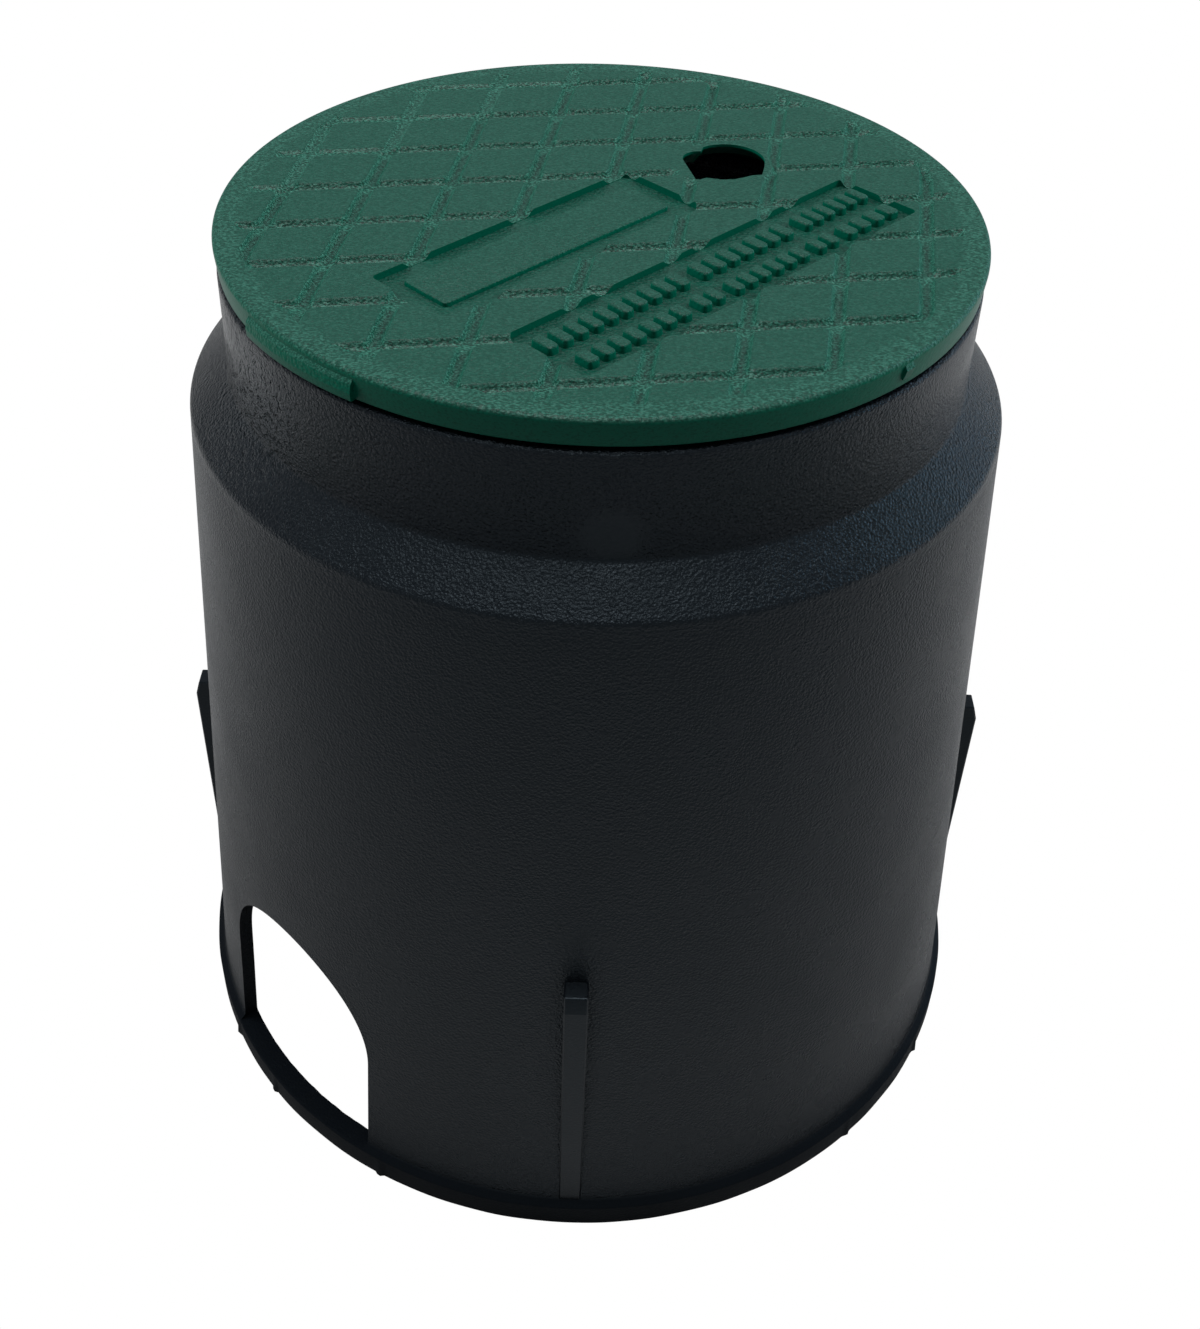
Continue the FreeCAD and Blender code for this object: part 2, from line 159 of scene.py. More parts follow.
# Camera, as recovered from the photo's round edges
CAMERA_PITCH, CAMERA_ROLL, CAMERA_PAN = (math.radians(angle) for angle in (40.916, 1.575, -0.451))
CAMERA_PLACE = (0.0, -0.34195, 0.39377)
FOCAL_PIXELS = 1681.8
PICTURE_PIXELS = 1329.0
SENSOR = 36.0
CAMERA_SHIFT = 0.01725


# Making meshes

def settle(name, verts, faces, material, smooth_angle=32.0):
    """Mesh object from millimetre points, with normals outwards and edges sharp past an angle."""
    me = bpy.data.meshes.new(name)
    me.from_pydata([(x * MM, y * MM, z * MM) for x, y, z in verts], [], faces)
    bm = bmesh.new()
    bm.from_mesh(me)
    bmesh.ops.recalc_face_normals(bm, faces=bm.faces)
    bm.to_mesh(me)
    bm.free()
    me.materials.append(material)
    ob = bpy.data.objects.new(name, me)
    bpy.context.scene.collection.objects.link(ob)
    shade(ob, smooth_angle)
    return ob


def shade(ob, angle=32.0):
    """Smooth shading with edges past an angle kept sharp."""
    ob.data.shade_smooth()
    ob.data.set_sharp_from_angle(angle=math.radians(angle))


def rounded(points, steps=5):
    """Closed outline with its corners, each given as x, z and radius, rounded off."""
    out = []
    for k, (x, z, r) in enumerate(points):
        if r <= 0:
            out.append((x, z))
            continue
        p = Vector((x, z))
        a = Vector(points[k - 1][:2]) - p
        b = Vector(points[(k + 1) % len(points)][:2]) - p
        la, lb = a.length, b.length
        a.normalize()
        b.normalize()
        half = math.acos(max(-1.0, min(1.0, a.dot(b)))) / 2
        reach = min(r / math.tan(half), 0.49 * la, 0.49 * lb)
        radius = reach * math.tan(half)
        centre = p + (a + b).normalized() * (radius / math.sin(half))
        start = p + a * reach - centre
        end = p + b * reach - centre
        turn = math.atan2(start.x * end.y - start.y * end.x, start.dot(end))
        for s in range(steps + 1):
            t = turn * s / steps
            out.append((centre.x + start.x * math.cos(t) - start.y * math.sin(t),
                        centre.y + start.x * math.sin(t) + start.y * math.cos(t)))
    return out


def split(points, longest):
    """Extra points so that no step of a closed outline is longer than a given length."""
    out = []
    for k, p in enumerate(points):
        q = points[(k + 1) % len(points)]
        steps = max(1, int(math.ceil(math.hypot(q[0] - p[0], q[1] - p[1]) / longest)))
        for s in range(steps):
            out.append((p[0] + (q[0] - p[0]) * s / steps, p[1] + (q[1] - p[1]) * s / steps))
    return out


def arc(centre_x, centre_y, radius, low, high, count):
    """Points along an arc, with its angles in degrees."""
    turns = np.linspace(math.radians(low), math.radians(high), count)
    return [(centre_x + radius * math.cos(t), centre_y + radius * math.sin(t)) for t in turns]


def upright(points, turn):
    """Points given as outward, sideways and height, turned about the upright axis."""
    c, s = math.cos(turn), math.sin(turn)
    return [(far * c - w * s, far * s + w * c, z) for far, w, z in points]


def bands(levels, n):
    """Faces between neighbouring closed rings of n points each."""
    return [(k * n + j, k * n + (j + 1) % n, (k + 1) * n + (j + 1) % n, (k + 1) * n + j)
            for k in range(levels - 1) for j in range(n)]


def ends(levels, n):
    """Faces that close the first and the last of a stack of rings."""
    return [tuple(range(n))[::-1], tuple(range((levels - 1) * n, levels * n))]


def lathe(outline, segments, shift=None):
    """Closed ring from an outline turned about the upright axis; shift moves points by angle."""
    verts, faces = [], []
    n = len(outline)
    for s in range(segments):
        t = 2 * math.pi * s / segments
        for r, z in outline:
            if shift:
                r, z = shift(r, z, t)
            verts.append((r * math.cos(t), r * math.sin(t), z))
    for s in range(segments):
        a, b = s * n, (s + 1) % segments * n
        for k in range(n):
            j = (k + 1) % n
            faces.append((a + k, b + k, b + j, a + j))
    return verts, faces


def stack(levels):
    """Closed solid from flat outlines of one length, each with its height."""
    n = len(levels[0][0])
    verts = [(x, y, z) for outline, z in levels for x, y in outline]
    return verts, ends(len(levels), n) + bands(len(levels), n)


def prism(outline, low, high):
    """Closed prism over a flat outline."""
    return stack([(outline, low), (outline, high)])


def carve(ob, tool, operation="DIFFERENCE"):
    """Boolean with a tool that is then thrown away."""
    mod = ob.modifiers.new("carve", "BOOLEAN")
    mod.operation = operation
    mod.solver = "EXACT"
    mod.object = tool
    bpy.context.view_layer.update()
    graph = bpy.context.evaluated_depsgraph_get()
    me = bpy.data.meshes.new_from_object(ob.evaluated_get(graph))
    ob.modifiers.remove(mod)
    ob.data = me
    bpy.data.objects.remove(tool)
    return ob


def join(objects, name):
    """One object from several, in the first one's place and with its materials."""
    bm = bmesh.new()
    for ob in objects:
        bm.from_mesh(ob.data)
    me = bpy.data.meshes.new(name)
    bm.to_mesh(me)
    bm.free()
    for m in objects[0].data.materials:
        me.materials.append(m)
    ob = bpy.data.objects.new(name, me)
    bpy.context.scene.collection.objects.link(ob)
    for old in objects:
        bpy.data.objects.remove(old)
    shade(ob)
    return ob


def step(x, low, high):
    """Smooth rise from nought at low to one at high."""
    t = max(0.0, min(1.0, (x - low) / (high - low)))
    return t * t * (3 - 2 * t)


# Materials

def shader(name):
    """Empty material with one surface shader."""
    mat = bpy.data.materials.new(name)
    mat.use_nodes = True
    tree = mat.node_tree
    tree.nodes.clear()
    out = tree.nodes.new("ShaderNodeOutputMaterial")
    main = tree.nodes.new("ShaderNodeBsdfPrincipled")
    tree.links.new(main.outputs["BSDF"], out.inputs["Surface"])
    return mat, tree, main


def add(tree, kind, **values):
    """New node with its sockets or settings set by name."""
    node = tree.nodes.new(kind)
    for key, value in values.items():
        if key in node.inputs:
            node.inputs[key].default_value = value
        else:
            setattr(node, key, value)
    return node


def ranged(tree, value, low, high, start, end):
    """Value mapped from one range to another, held at both ends."""
    node = add(tree, "ShaderNodeMapRange")
    tree.links.new(value, node.inputs["Value"])
    for key, number in (("From Min", low), ("From Max", high), ("To Min", start), ("To Max", end)):
        node.inputs[key].default_value = number
    return node.outputs["Result"]


def reckon(tree, operation, *values):
    """Sockets and numbers taken through one sum after another."""
    result = values[0]
    for value in values[1:]:
        node = add(tree, "ShaderNodeMath", operation=operation)
        for socket, given in zip(node.inputs, (result, value)):
            if isinstance(given, float):
                socket.default_value = given
            else:
                tree.links.new(given, socket)
        result = node.outputs["Value"]
    return result


def stretched(tree, where, factors):
    """Coordinates scaled along each axis."""
    node = add(tree, "ShaderNodeVectorMath", operation="MULTIPLY")
    tree.links.new(where, node.inputs[0])
    node.inputs[1].default_value = factors
    return node.outputs["Vector"]


def spot(tree, where, centre, inner, outer):
    """One inside a ball around a place, fading to nought outside it."""
    far = add(tree, "ShaderNodeVectorMath", operation="DISTANCE")
    tree.links.new(where, far.inputs[0])
    far.inputs[1].default_value = [c * MM for c in centre]
    return ranged(tree, far.outputs["Value"], inner * MM, outer * MM, 1.0, 0.0)


def blended(tree, amount, under, colour):
    """Colour socket covered by a plain colour in some amount."""
    node = add(tree, "ShaderNodeMix", data_type="RGBA")
    tree.links.new(amount, node.inputs["Factor"])
    tree.links.new(under, node.inputs["A"])
    node.inputs["B"].default_value = colour
    return node.outputs["Result"]


def black_plastic(name, strength):
    """Moulded black plastic: pebbled skin, glossier on shoulder and neck and duller on the foot flange."""
    mat, tree, main = shader(name)
    link = tree.links.new
    where = tree.nodes.new("ShaderNodeTexCoord").outputs["Object"]
    pebble = add(tree, "ShaderNodeTexVoronoi", Scale=1500.0, feature="SMOOTH_F1", Smoothness=0.5)
    grain = add(tree, "ShaderNodeTexNoise", Scale=3000.0, Detail=1.5, Roughness=0.6)
    slow = add(tree, "ShaderNodeTexNoise", Scale=45.0, Detail=3.0, Roughness=0.6)
    holes = add(tree, "ShaderNodeTexNoise", Scale=620.0, Detail=2.0, Roughness=0.55)
    axes = tree.nodes.new("ShaderNodeSeparateXYZ")
    for node in (pebble, grain, slow, holes, axes):
        link(where, node.inputs["Vector"])
    height = axes.outputs["Z"]
    smooth = spot(tree, where, *SMOOTH_SPOT)
    wear_and_glints = spot(tree, where, *PITTED_SPOT)
    flange = (height, (FLANGE_T + 1.2) * MM, (FLANGE_T + 2.0) * MM)
    shoulder = (height, (SHOULDER[1] - 3.5) * MM, SHOULDER[1] * MM)

    skin = reckon(tree, "ADD", grain.outputs["Fac"], pebble.outputs["Distance"])
    flat = reckon(tree, "SUBTRACT", 1.0, reckon(tree, "MULTIPLY", smooth, 0.7))
    skin = reckon(tree, "MULTIPLY", skin, flat, ranged(tree, *flange, 0.3, 1.0),
                  ranged(tree, *shoulder, 1.0, 1.15))
    pits = reckon(tree, "MULTIPLY", ranged(tree, holes.outputs["Fac"], 0.54, 0.64, 0.0, 1.0), wear_and_glints, 5.0)
    bump = add(tree, "ShaderNodeBump", Strength=strength, Distance=0.00022)
    link(reckon(tree, "SUBTRACT", skin, pits), bump.inputs["Height"])
    link(bump.outputs["Normal"], main.inputs["Normal"])

    foot = ranged(tree, *flange, 1.0, 0.0)
    dull = reckon(tree, "MULTIPLY", ranged(tree, slow.outputs["Fac"], 0.3, 0.7, 0.24, 0.33),
                  ranged(tree, *shoulder, 1.0, 0.6))
    link(reckon(tree, "ADD", dull, reckon(tree, "MULTIPLY", foot, 0.30)), main.inputs["Roughness"])
    shine = reckon(tree, "SUBTRACT", ranged(tree, wear_and_glints, 0.0, 1.0, 0.32, 0.60),
                   reckon(tree, "MULTIPLY", foot, 0.22))
    link(shine, main.inputs["Specular IOR Level"])
    main.inputs["Base Color"].default_value = (0.0016, 0.0022, 0.0032, 1)
    main.inputs["Specular Tint"].default_value = (0.70, 0.88, 1.0, 1)
    return mat


def green_plastic(name, scale, depth, strength, rough, flecks):
    """Green lid plastic; walls that stand upright are smoother, and the colour follows which way each face
    points, as painted light and shade: upright walls a deeper green than the tops, pale painted glints on
    the tops and dark painted shade in pits.
    """
    mat, tree, main = shader(name)
    link = tree.links.new
    given = tree.nodes.new("ShaderNodeTexCoord")
    where = given.outputs["Object"]
    grain = add(tree, "ShaderNodeTexNoise", Scale=scale, Detail=2.0, Roughness=0.65)
    cells = add(tree, "ShaderNodeTexVoronoi", Scale=scale * 0.8)
    for node in (grain, cells):
        link(where, node.inputs["Vector"])
    facing = tree.nodes.new("ShaderNodeSeparateXYZ")
    link(given.outputs["Normal"], facing.inputs["Vector"])
    up = facing.outputs["Z"]
    bump = add(tree, "ShaderNodeBump", Distance=depth)
    link(reckon(tree, "ADD", grain.outputs["Fac"], cells.outputs["Distance"]), bump.inputs["Height"])
    link(ranged(tree, up, 0.0, 0.5, 0.12 * strength, strength), bump.inputs["Strength"])
    link(bump.outputs["Normal"], main.inputs["Normal"])

    # Base colour chosen by facing: upright walls a deeper green than the tops. This is painted light and
    # shade, not a change in the plastic.
    ramp = tree.nodes.new("ShaderNodeValToRGB")
    wall, top = ramp.color_ramp.elements
    wall.position, wall.color = 0.25, (0.0, 0.058, 0.035, 1)
    top.position, top.color = 0.85, (0.0004, 0.038, 0.0245, 1)
    link(up, ramp.inputs["Fac"])
    # Noise for flecks in the colour: pale flecks on upward faces, more of them at the tread's border, are
    # painted glints; dark flecks are painted shade in pits.
    wear_and_glints = add(tree, "ShaderNodeTexNoise", Scale=3300.0, Detail=1.0, Roughness=0.5)
    link(stretched(tree, where, (0.45, 1.0, 1.0)), wear_and_glints.inputs["Vector"])
    out = add(tree, "ShaderNodeVectorMath", operation="LENGTH")
    link(stretched(tree, where, (1.0, 1.0, 0.0)), out.inputs[0])
    border = ranged(tree, out.outputs["Value"], (FIELD_R - 1.4) * MM, (FIELD_R + 1.1) * MM,
                    flecks, max(flecks, 0.5))
    light = reckon(tree, "MULTIPLY", ranged(tree, wear_and_glints.outputs["Fac"], 0.46, 0.66, 0.0, 1.0),
                   ranged(tree, up, 0.3, 0.7, 0.0, 1.0), border)
    dark = reckon(tree, "MULTIPLY", ranged(tree, wear_and_glints.outputs["Fac"], 0.34, 0.47, 1.0, 0.0), border)
    # Painted glints and painted pit shade mixed into the base colour.
    colour = blended(tree, light, ramp.outputs["Color"], (0.036, 0.145, 0.108, 1))
    colour = blended(tree, dark, colour, (0.0, 0.020, 0.012, 1))
    link(colour, main.inputs["Base Color"])
    link(ranged(tree, up, 0.2, 0.8, 0.7 * rough, rough), main.inputs["Roughness"])
    link(ranged(tree, up, 0.2, 0.8, 0.10, 0.40), main.inputs["Specular IOR Level"])
    return mat


def white_backdrop():
    """Pale matte surface that the camera sees as plain white."""
    mat, tree, main = shader("pale_floor")
    link = tree.links.new
    main.inputs["Base Color"].default_value = (PALE_FLOOR, PALE_FLOOR, PALE_FLOOR, 1)
    main.inputs["Roughness"].default_value = 0.9
    glow = add(tree, "ShaderNodeEmission", Color=(1, 1, 1, 1), Strength=1.0)
    path = tree.nodes.new("ShaderNodeLightPath")
    mix = tree.nodes.new("ShaderNodeMixShader")
    link(path.outputs["Is Camera Ray"], mix.inputs["Fac"])
    link(main.outputs["BSDF"], mix.inputs[1])
    link(glow.outputs["Emission"], mix.inputs[2])
    link(mix.outputs["Shader"], tree.nodes["Material Output"].inputs["Surface"])
    return mat


# Lid

def along(u, v):
    """Point in the lid's plan from its place along and across the tread diagonal."""
    return (u * math.cos(TURN) - v * math.sin(TURN), u * math.sin(TURN) + v * math.cos(TURN))


def groove_lines():
    """Places across the tread: close together at a groove, wider apart on a pad."""
    near = sorted([-t for t in GROOVE_LINES] + [0.0] + list(GROOVE_LINES))
    gap = PITCH - 2 * near[-1]
    out = []
    for k in range(-5, 6):
        out += [k * PITCH + t for t in near]
        out += [k * PITCH + near[-1] + gap * (j + 1) / (PAD_LINES + 1) for j in range(PAD_LINES)]
    return [t for t in out if abs(t) <= LID_R + 0.5]


def tread_depth(x, y, a, b):
    """How far the tread lies below the lid's top, from the distances to the two sets of grooves."""
    ta = abs(a - PITCH * round(a / PITCH)) - GROOVE_HALF
    tb = abs(b - PITCH * round(b / PITCH)) - GROOVE_HALF
    inside = min(ta, tb)
    if ta < PAD_CORNER and tb < PAD_CORNER:
        inside = PAD_CORNER - math.hypot(PAD_CORNER - ta, PAD_CORNER - tb)
    ragged = noise.noise(Vector((x * 0.25, y * 0.25, 8.0)))
    inside = max(inside, (math.hypot(x, y) - FIELD_R + 1.2 * ragged) * 0.7)
    deep = float(np.interp(inside, *zip(*GROOVE_SECTION)))
    across = -x * math.sin(TURN) + y * math.cos(TURN)
    deep *= 1.0 - SHALLOW_BY * step(across, SHALLOW_FROM, SHALLOW_FROM + 0.7)
    deep *= step(math.hypot(x - FLAT_MIDDLE[0], y - FLAT_MIDDLE[1]), FLAT_R, FLAT_R + 2.0)
    rough = noise.noise(Vector((x * 1.6, y * 1.6, 3.0))) * 0.07
    return deep - rough * min(1.0, deep)


def tread_puck(top_look, groove_look):
    """Tread field as a closed block whose mesh lines follow both sets of grooves."""
    lines = groove_lines()
    n1 = Vector((-math.sin(TURN - HALF), math.cos(TURN - HALF)))
    n2 = Vector((math.sin(TURN + HALF), -math.cos(TURN + HALF)))
    det = n1.x * n2.y - n1.y * n2.x
    verts, faces, index, depth = [], [], {}, []
    for i, a in enumerate(lines):
        for j, b in enumerate(lines):
            x = (a * n2.y - b * n1.y) / det
            y = (n1.x * b - n2.x * a) / det
            if math.hypot(x, y) < LID_R + 1.5:
                index[i, j] = len(verts)
                depth.append(tread_depth(x, y, a, b))
                verts.append((x, y, TOP - depth[-1]))
    for i, j in index:
        quad = [(i, j), (i + 1, j), (i + 1, j + 1), (i, j + 1)]
        if all(q in index for q in quad):
            faces.append(tuple(index[q] for q in quad))
    look = [1 if sum(depth[v] for v in f) > 0.5 else 0 for f in faces]
    open_edges = {}
    for f in faces:
        for k in range(4):
            a, b = f[k], f[(k + 1) % 4]
            if open_edges.pop((b, a), None) is None:
                open_edges[a, b] = True
    lower = {}
    for a, b in open_edges:
        lower[a] = len(verts)
        verts.append((verts[a][0], verts[a][1], PLATE_UNDER))
    faces += [(b, a, lower[a], lower[b]) for a, b in open_edges]
    follow = dict(open_edges.keys())
    start = next(iter(follow))
    loop, at = [lower[start]], follow[start]
    while at != start:
        loop.append(lower[at])
        at = follow[at]
    faces.append(tuple(loop))
    ob = settle("tread_top", verts, faces, top_look)
    ob.data.materials.append(groove_look)
    ob.data.polygons.foreach_set("material_index", look + [0] * (len(faces) - len(look)))
    ring = arc(0.0, 0.0, LID_R - LID_ROUND, 0, 360, 481)[:-1]
    return carve(ob, settle("disc", *prism(ring, TOP - 9, TOP + 5), top_look), "INTERSECT")


def hole_cutter(material):
    """Tool for the lift hole: its outline down to a thin lip, then opening out below."""
    mouth = arc(*HOLE, -10, 130, 41) + arc(*LOBE, 85, 195, 15) + BROKEN_EDGE
    mx, my = FLARE_MIDDLE
    wide = [(mx + (x - mx) * HOLE_FLARE, my + (y - my) * HOLE_FLARE) for x, y in mouth]
    levels = [(mouth, TOP + 3), (mouth, TOP - HOLE_LIP), (wide, TOP - 4.3), (wide, TOP - 12)]
    return settle("cutter", *stack(levels), material)


def plate_cutter(plate, material):
    """Tool for a sunk plate with rounded corners, turned along the diagonal."""
    u0, u1, v0, v1 = plate
    corners = [(u0, v0, 1.2), (u1, v0, 1.2), (u1, v1, 1.2), (u0, v1, 1.2)]
    outline = [along(u, v) for u, v in rounded(corners, 6)]
    return settle("cutter", *prism(outline, TOP - SUNK, TOP + 3), material)


def bevelled_block(name, length, width, height, r, edge, material):
    """Block with rounded corners and an eased top edge, standing on its own middle."""
    def ring(inset):
        u, v, corner = length / 2 - inset, width / 2 - inset, max(0.05, r - inset)
        return rounded([(-u, -v, corner), (u, -v, corner), (u, v, corner), (-u, v, corner)], 4)
    levels = [(ring(-0.12), -0.3), (ring(-0.12), 0.0), (ring(0.0), height - edge)]
    for t in (math.pi / 6, math.pi / 3, math.pi / 2):
        levels.append((ring(edge * (1 - math.cos(t))), height - edge + edge * math.sin(t)))
    return settle(name, *stack(levels), material)


def place(ob, u, v):
    """Put a block that was made flat at the centre into a sunk plate, turned along the diagonal."""
    x, y = along(u, v)
    shift = Matrix.Translation((x * MM, y * MM, (TOP - SUNK) * MM))
    ob.data.transform(shift @ Matrix.Rotation(TURN, 4, "Z"))
    return ob


def block_row_tree(material):
    """Node tree that repeats one block along a line."""
    tree = bpy.data.node_groups.new("block_row", "GeometryNodeTree")
    face = tree.interface
    face.new_socket("Geometry", in_out="INPUT", socket_type="NodeSocketGeometry")
    face.new_socket("Block", in_out="INPUT", socket_type="NodeSocketObject")
    face.new_socket("Count", in_out="INPUT", socket_type="NodeSocketInt")
    face.new_socket("Pitch", in_out="INPUT", socket_type="NodeSocketFloat")
    face.new_socket("Geometry", in_out="OUTPUT", socket_type="NodeSocketGeometry")
    link = tree.links.new
    given = tree.nodes.new("NodeGroupInput")
    offset = tree.nodes.new("ShaderNodeCombineXYZ")
    line = tree.nodes.new("GeometryNodeMeshLine")
    block = tree.nodes.new("GeometryNodeObjectInfo")
    spread = tree.nodes.new("GeometryNodeInstanceOnPoints")
    solid = tree.nodes.new("GeometryNodeRealizeInstances")
    paint = tree.nodes.new("GeometryNodeSetMaterial")
    result = tree.nodes.new("NodeGroupOutput")
    paint.inputs["Material"].default_value = material
    link(given.outputs["Pitch"], offset.inputs["X"])
    link(given.outputs["Count"], line.inputs["Count"])
    link(offset.outputs["Vector"], line.inputs["Offset"])
    link(given.outputs["Block"], block.inputs["Object"])
    link(line.outputs["Mesh"], spread.inputs["Points"])
    link(block.outputs["Geometry"], spread.inputs["Instance"])
    link(spread.outputs["Instances"], solid.inputs["Geometry"])
    link(solid.outputs["Geometry"], paint.inputs["Geometry"])
    link(paint.outputs["Geometry"], result.inputs["Geometry"])
    return tree


def block_row(tree, block, count, pitch, material):
    """Row of blocks made by the node tree and turned into a plain mesh, centred on its own middle."""
    holder = settle("row", [(0, 0, 0), (1, 0, 0), (0, 1, 0)], [(0, 1, 2)], material)
    mod = holder.modifiers.new("row", "NODES")
    mod.node_group = tree
    names = {item.name: item.identifier for item in tree.interface.items_tree if item.in_out == "INPUT"}
    mod[names["Block"]] = block
    mod[names["Count"]] = count
    mod[names["Pitch"]] = pitch * MM
    bpy.context.view_layer.update()
    made = holder.evaluated_get(bpy.context.evaluated_depsgraph_get())
    me = bpy.data.meshes.new_from_object(made)
    holder.modifiers.remove(mod)
    holder.data = me
    me.transform(Matrix.Translation((-(count - 1) * pitch * MM / 2, 0, 0)))
    shade(holder)
    return holder


def plate_contents(look):
    """Raised field in the first sunk plate and rows of blocks in the second."""
    u0, u1, v0, v1 = RAISED_FIELD
    field = bevelled_block("field", u1 - u0, v1 - v0, 0.9, 1.2, 0.3, look)
    parts = [place(field, (u0 + u1) / 2, (v0 + v1) / 2)]
    tree = block_row_tree(look)
    for bars, (v0, v1) in ((UPPER_BARS, UPPER_ROW), (LOWER_BARS, LOWER_ROW)):
        for u0, u1 in bars:
            count = round((u1 - u0) / BLOCK_PITCH)
            pitch = (u1 - u0 + BLOCK_GAP) / count
            block = bevelled_block("block", pitch - BLOCK_GAP, v1 - v0, BLOCK_H, 0.9, 0.5, look)
            row = block_row(tree, block, count, pitch, look)
            parts.append(place(row, (u0 + u1) / 2, (v0 + v1) / 2))
            bpy.data.objects.remove(block)
    return parts


def lid_top(look, groove_look):
    """Tread with its sunk plates, lift hole and what the plates hold."""
    top = tread_puck(look, groove_look)
    for plate in (FIELD_PLATE, BARS_PLATE):
        carve(top, plate_cutter(plate, look))
    carve(top, hole_cutter(look))
    shade(top)
    return join([top] + plate_contents(look), "green_lid_top")


def rim_ring(material):
    """Rim with its rounded edge and the locating skirt."""
    inside, skirt_in, lap = RIM_FOOT_R - RIM_WALL, SKIRT_R - SKIRT_WALL, PLATE_UNDER + 0.2
    section = [
        (LID_R - LID_ROUND, TOP, 0), (LID_R, TOP, LID_ROUND), (RIM_FOOT_R, TOP - RIM_H, 0.45),
        (inside, TOP - RIM_H, 0.3), (inside, PLATE_UNDER, 0), (SKIRT_R, PLATE_UNDER, 0),
        (SKIRT_R, SEAT_Z, 0.3), (skirt_in, SEAT_Z, 0.3), (skirt_in, lap, 0), (LID_R - LID_ROUND, lap, 0),
    ]
    return settle("rim", *lathe(rounded(section, 7), AROUND), material)


def under_ring(material):
    """Stiffening ring under the plate."""
    low, lap = PLATE_UNDER - UNDER_DEPTH, PLATE_UNDER + 0.3
    inner = UNDER_RING_R - UNDER_WALL
    section = [(UNDER_RING_R, lap, 0), (UNDER_RING_R, low, 0.4), (inner, low, 0.4), (inner, lap, 0)]
    return settle("under_ring", *lathe(rounded(section, 3), 128), material)


def under_rib(turn, material):
    """Rib under the plate from the ring to the skirt."""
    near, far, half = UNDER_RING_R - UNDER_WALL / 2, SKIRT_R - 1.4, UNDER_WALL / 2
    flat = upright([(near, -half, 0), (far, -half, 0), (far, half, 0), (near, half, 0)], turn)
    outline = [(x, y) for x, y, z in flat]
    return settle("rib", *prism(outline, PLATE_UNDER - UNDER_DEPTH, PLATE_UNDER + 0.3), material)


def rim_tab(material):
    """Raised tab along part of the rim."""
    foot, root, steps = TOP - RIM_H + 0.1, LID_R - 2.4, 60
    section = rounded([(root, TOP - 0.9, 0), (LID_R - 0.75, TOP - 0.9, 0.3), (LID_R + 0.55, TOP - 2.5, 0.6),
                       (LID_R + 0.9, TOP - 4.2, 0.5), (LID_R + 0.75, foot, 0.4), (root, foot, 0)], 4)
    verts = []
    for t in np.linspace(math.radians(TAB_FROM), math.radians(TAB_TO), steps + 1):
        verts += [(r * math.cos(t), r * math.sin(t), z) for r, z in section]
    n = len(section)
    return settle("tab", verts, ends(steps + 1, n) + bands(steps + 1, n), material)


def rim_pip(material):
    """Small pointed pip on the rim's upper edge."""
    root = LID_R - 1.0
    section = [(root, TOP - 1.0), (LID_R - 0.25, TOP - 1.0), (LID_R + 0.55, TOP - 2.2),
               (LID_R - 0.1, TOP - 4.4), (root, TOP - 4.4)]
    points = [(r, w, z) for w in (-1.1, 1.4) for r, z in section]
    verts = upright(points, math.radians(PIP_TURN))
    return settle("pip", verts, ends(2, len(section)) + bands(2, len(section)), material)


def lid_rim(look):
    """Rim, skirt, ring and ribs underneath, raised tab and pip."""
    parts = [rim_ring(look), under_ring(look)]
    for k in range(UNDER_RIBS):
        parts.append(under_rib(TURN + 2 * math.pi * (k + 0.5) / UNDER_RIBS, look))
    return join(parts + [rim_tab(look), rim_pip(look)], "green_lid_rim")


# Box

def uneven(r, z, t):
    """Slow waves in the wall and small burrs on the foot's edge, as moulded parts have."""
    c, s = math.cos(t), math.sin(t)
    if z < FLANGE_T + 0.5 and r > FOOT_R - 3.7:
        r += 0.14 * noise.noise(Vector((c * 9, s * 9, 1.0))) - 0.1
        for azimuth, size in BURRS:
            near = max(0.0, 1 - abs(math.degrees(t) - azimuth % 360) / BURR_HALF_DEGREES)
            r += size * near * step(4.0 - z, 0, 3)
    elif WAVES_FROM < z < WAVES_TO:
        r += 0.10 * noise.noise(Vector((c * 2.6, s * 2.6, z * 0.018))) * step(z, WAVES_FROM, WAVES_FULL)
    return r, z


def passage(material):
    """Tool that cuts both pipe openings: an arch with a slightly ragged sill."""
    sill = [(w, ARCH_FOOT + 0.5 * noise.noise(Vector((w * 0.35, 2.0, 0.0))))
            for w in np.linspace(-ARCH_HALF, ARCH_HALF, 41)]
    arch = sill + arc(0.0, ARCH_SPRING, ARCH_HALF, 0, 180, 49)
    points = [(far, w, z) for far in (-125.0, 125.0) for w, z in arch]
    n = len(arch)
    return settle("passage", upright(points, ARCH_TURN), ends(2, n) + bands(2, n), material)


def wall_rib(turn, material):
    """Upright rib on the wall with eased long edges and a sloped top."""
    section = rounded(RIB_PROFILE, 4)
    points = []
    for w, inset in ((-RIB_HALF, RIB_EASE), (RIB_EASE - RIB_HALF, 0.0),
                     (RIB_HALF - RIB_EASE, 0.0), (RIB_HALF, RIB_EASE)):
        points += [(r - (inset if r > RIB_R - 2.0 else 0), w, z - (inset if z > RIB_TOP - 5.0 else 0))
                   for r, z in section]
    faces = ends(4, len(section)) + bands(4, len(section))
    ob = settle("rib", upright(points, turn), faces, material)
    ob.data.polygons.foreach_set("material_index", [1] * len(faces))
    return ob


def build_box(look, rib_look):
    """Wall, shoulder, neck and flange in one, with both pipe openings and four ribs."""
    outline = split(rounded(PROFILE, 5), 9.0)
    shell = settle("shell", *lathe(outline, AROUND, uneven), look)
    carve(shell, passage(look))
    shade(shell)
    shell.data.materials.append(rib_look)
    ribs = [wall_rib(math.pi / 2 * k, look) for k in range(4)]
    return join([shell] + ribs, "black_box")


# Floor, light and camera

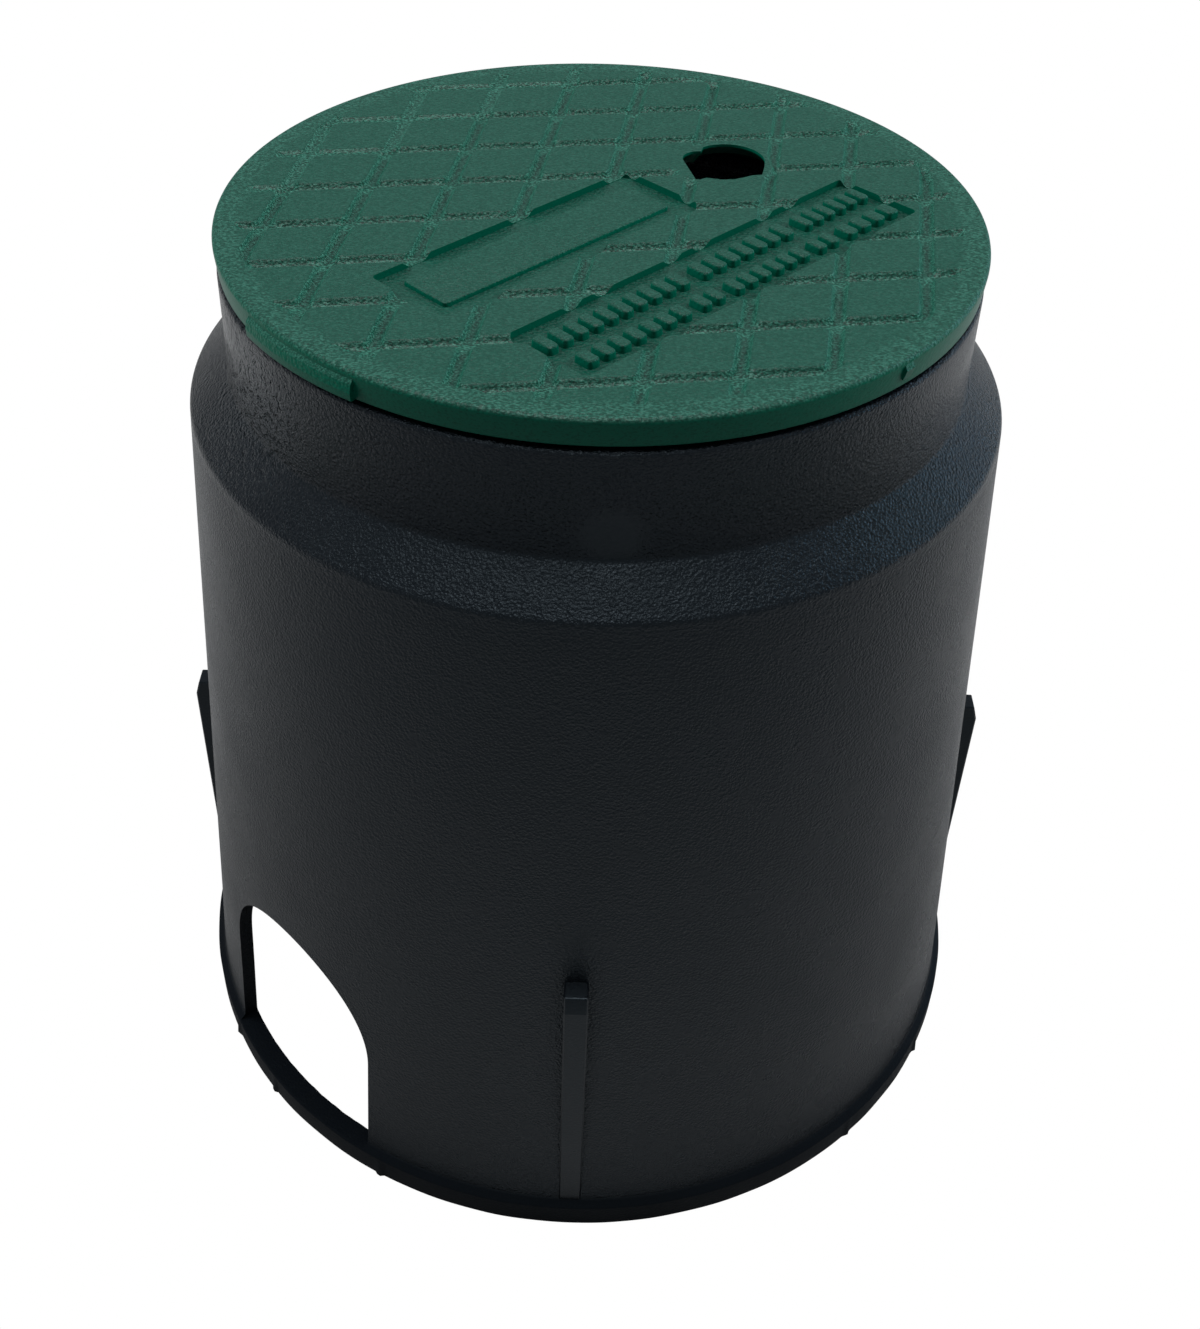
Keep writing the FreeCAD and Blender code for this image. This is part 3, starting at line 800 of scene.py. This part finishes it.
def studio():
    """Wide pale floor and an even sky, both plain white to the camera."""
    reach = FLOOR_REACH
    verts = [(-reach, -reach, 0), (reach, -reach, 0), (reach, reach, 0), (-reach, reach, 0)]
    floor = settle("floor", verts, [(0, 1, 2, 3)], white_backdrop())
    world = bpy.data.worlds.new("studio")
    bpy.context.scene.world = world
    world.use_nodes = True
    tree = world.node_tree
    tree.nodes.clear()
    out = tree.nodes.new("ShaderNodeOutputWorld")
    seen = add(tree, "ShaderNodeBackground", Color=(1, 1, 1, 1), Strength=1.0)
    fill = add(tree, "ShaderNodeBackground", Color=(0.90, 0.95, 1.0, 1), Strength=0.34)
    path = tree.nodes.new("ShaderNodeLightPath")
    mix = tree.nodes.new("ShaderNodeMixShader")
    tree.links.new(path.outputs["Is Camera Ray"], mix.inputs["Fac"])
    tree.links.new(fill.outputs["Background"], mix.inputs[1])
    tree.links.new(seen.outputs["Background"], mix.inputs[2])
    tree.links.new(mix.outputs["Shader"], out.inputs["Surface"])


def soft_light(name, place_at, aim, size, power, colour=(1, 1, 1)):
    """Rectangular lamp turned towards a point."""
    data = bpy.data.lights.new(name, "AREA")
    data.shape = "RECTANGLE"
    data.size, data.size_y = size
    data.energy = power
    data.color = colour
    ob = bpy.data.objects.new(name, data)
    bpy.context.scene.collection.objects.link(ob)
    ob.location = place_at
    ob.rotation_euler = (Vector(aim) - Vector(place_at)).to_track_quat("-Z", "Y").to_euler()
    return ob


def lamps():
    """Large lamp overhead, small one in front, side pools of light on the floor, cool window behind."""
    soft_light("overhead", (-0.05, -0.05, 1.45), (0, 0, 0.2), (0.75, 0.75), 7.2)
    soft_light("front_light", (-0.12, -0.78, 1.15), (0, 0, 0.2), (0.18, 0.18), 0.55)
    for side in (-1, 1):
        pool = soft_light("side_light", (1.2 * side, 0.3, 0.75), (0.5 * side, 0.15, 0), (0.6, 0.9), 27.0)
        pool.visible_glossy = False
    soft_light("back_right_window", (1.25, 0.65, 0.4), (0, 0, 0.18), (0.5, 0.6), 2.2, (0.40, 0.72, 1.0))


def photo_camera():
    """Camera with the photo's own place, tilt and focal length."""
    data = bpy.data.cameras.new("camera")
    ob = bpy.data.objects.new("camera", data)
    bpy.context.scene.collection.objects.link(ob)
    side = Vector((math.cos(CAMERA_PAN), -math.sin(CAMERA_PAN), 0))
    ahead = Vector((math.sin(CAMERA_PAN), math.cos(CAMERA_PAN), 0))
    up = Vector((0, 0, 1))
    look = ahead * math.cos(CAMERA_PITCH) - up * math.sin(CAMERA_PITCH)
    over = ahead * math.sin(CAMERA_PITCH) + up * math.cos(CAMERA_PITCH)
    right = side * math.cos(CAMERA_ROLL) + over * math.sin(CAMERA_ROLL)
    high = over * math.cos(CAMERA_ROLL) - side * math.sin(CAMERA_ROLL)
    turned = Matrix((right, high, -look)).transposed().to_4x4()
    turned.translation = Vector(CAMERA_PLACE)
    ob.matrix_world = turned
    data.sensor_width = SENSOR
    data.lens = FOCAL_PIXELS / PICTURE_PIXELS * SENSOR
    data.shift_x = CAMERA_SHIFT
    data.clip_start = 0.01
    bpy.context.scene.camera = ob


# The last figure sets the painted glints and painted pit shade in the colour: few on the tops, many on the
# groove faces.
green = green_plastic("green_plastic_look", 1500.0, 0.00026, 0.8, 0.46, 0.20)
green_rough = green_plastic("green_groove_look", 1700.0, 0.00020, 0.8, 0.42, 0.85)
black = black_plastic("black_plastic_look", 0.85)
black_smooth = black_plastic("black_rib_look", 0.15)
tread = lid_top(green, green_rough)
rim = lid_rim(green)
black_box = build_box(black, black_smooth)

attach(black_box, "box")
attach(tread, "lid")
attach(rim, "lid")
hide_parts("box_body")
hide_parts("lid")

studio()
lamps()
photo_camera()
bpy.context.scene.view_settings.view_transform = "Standard"
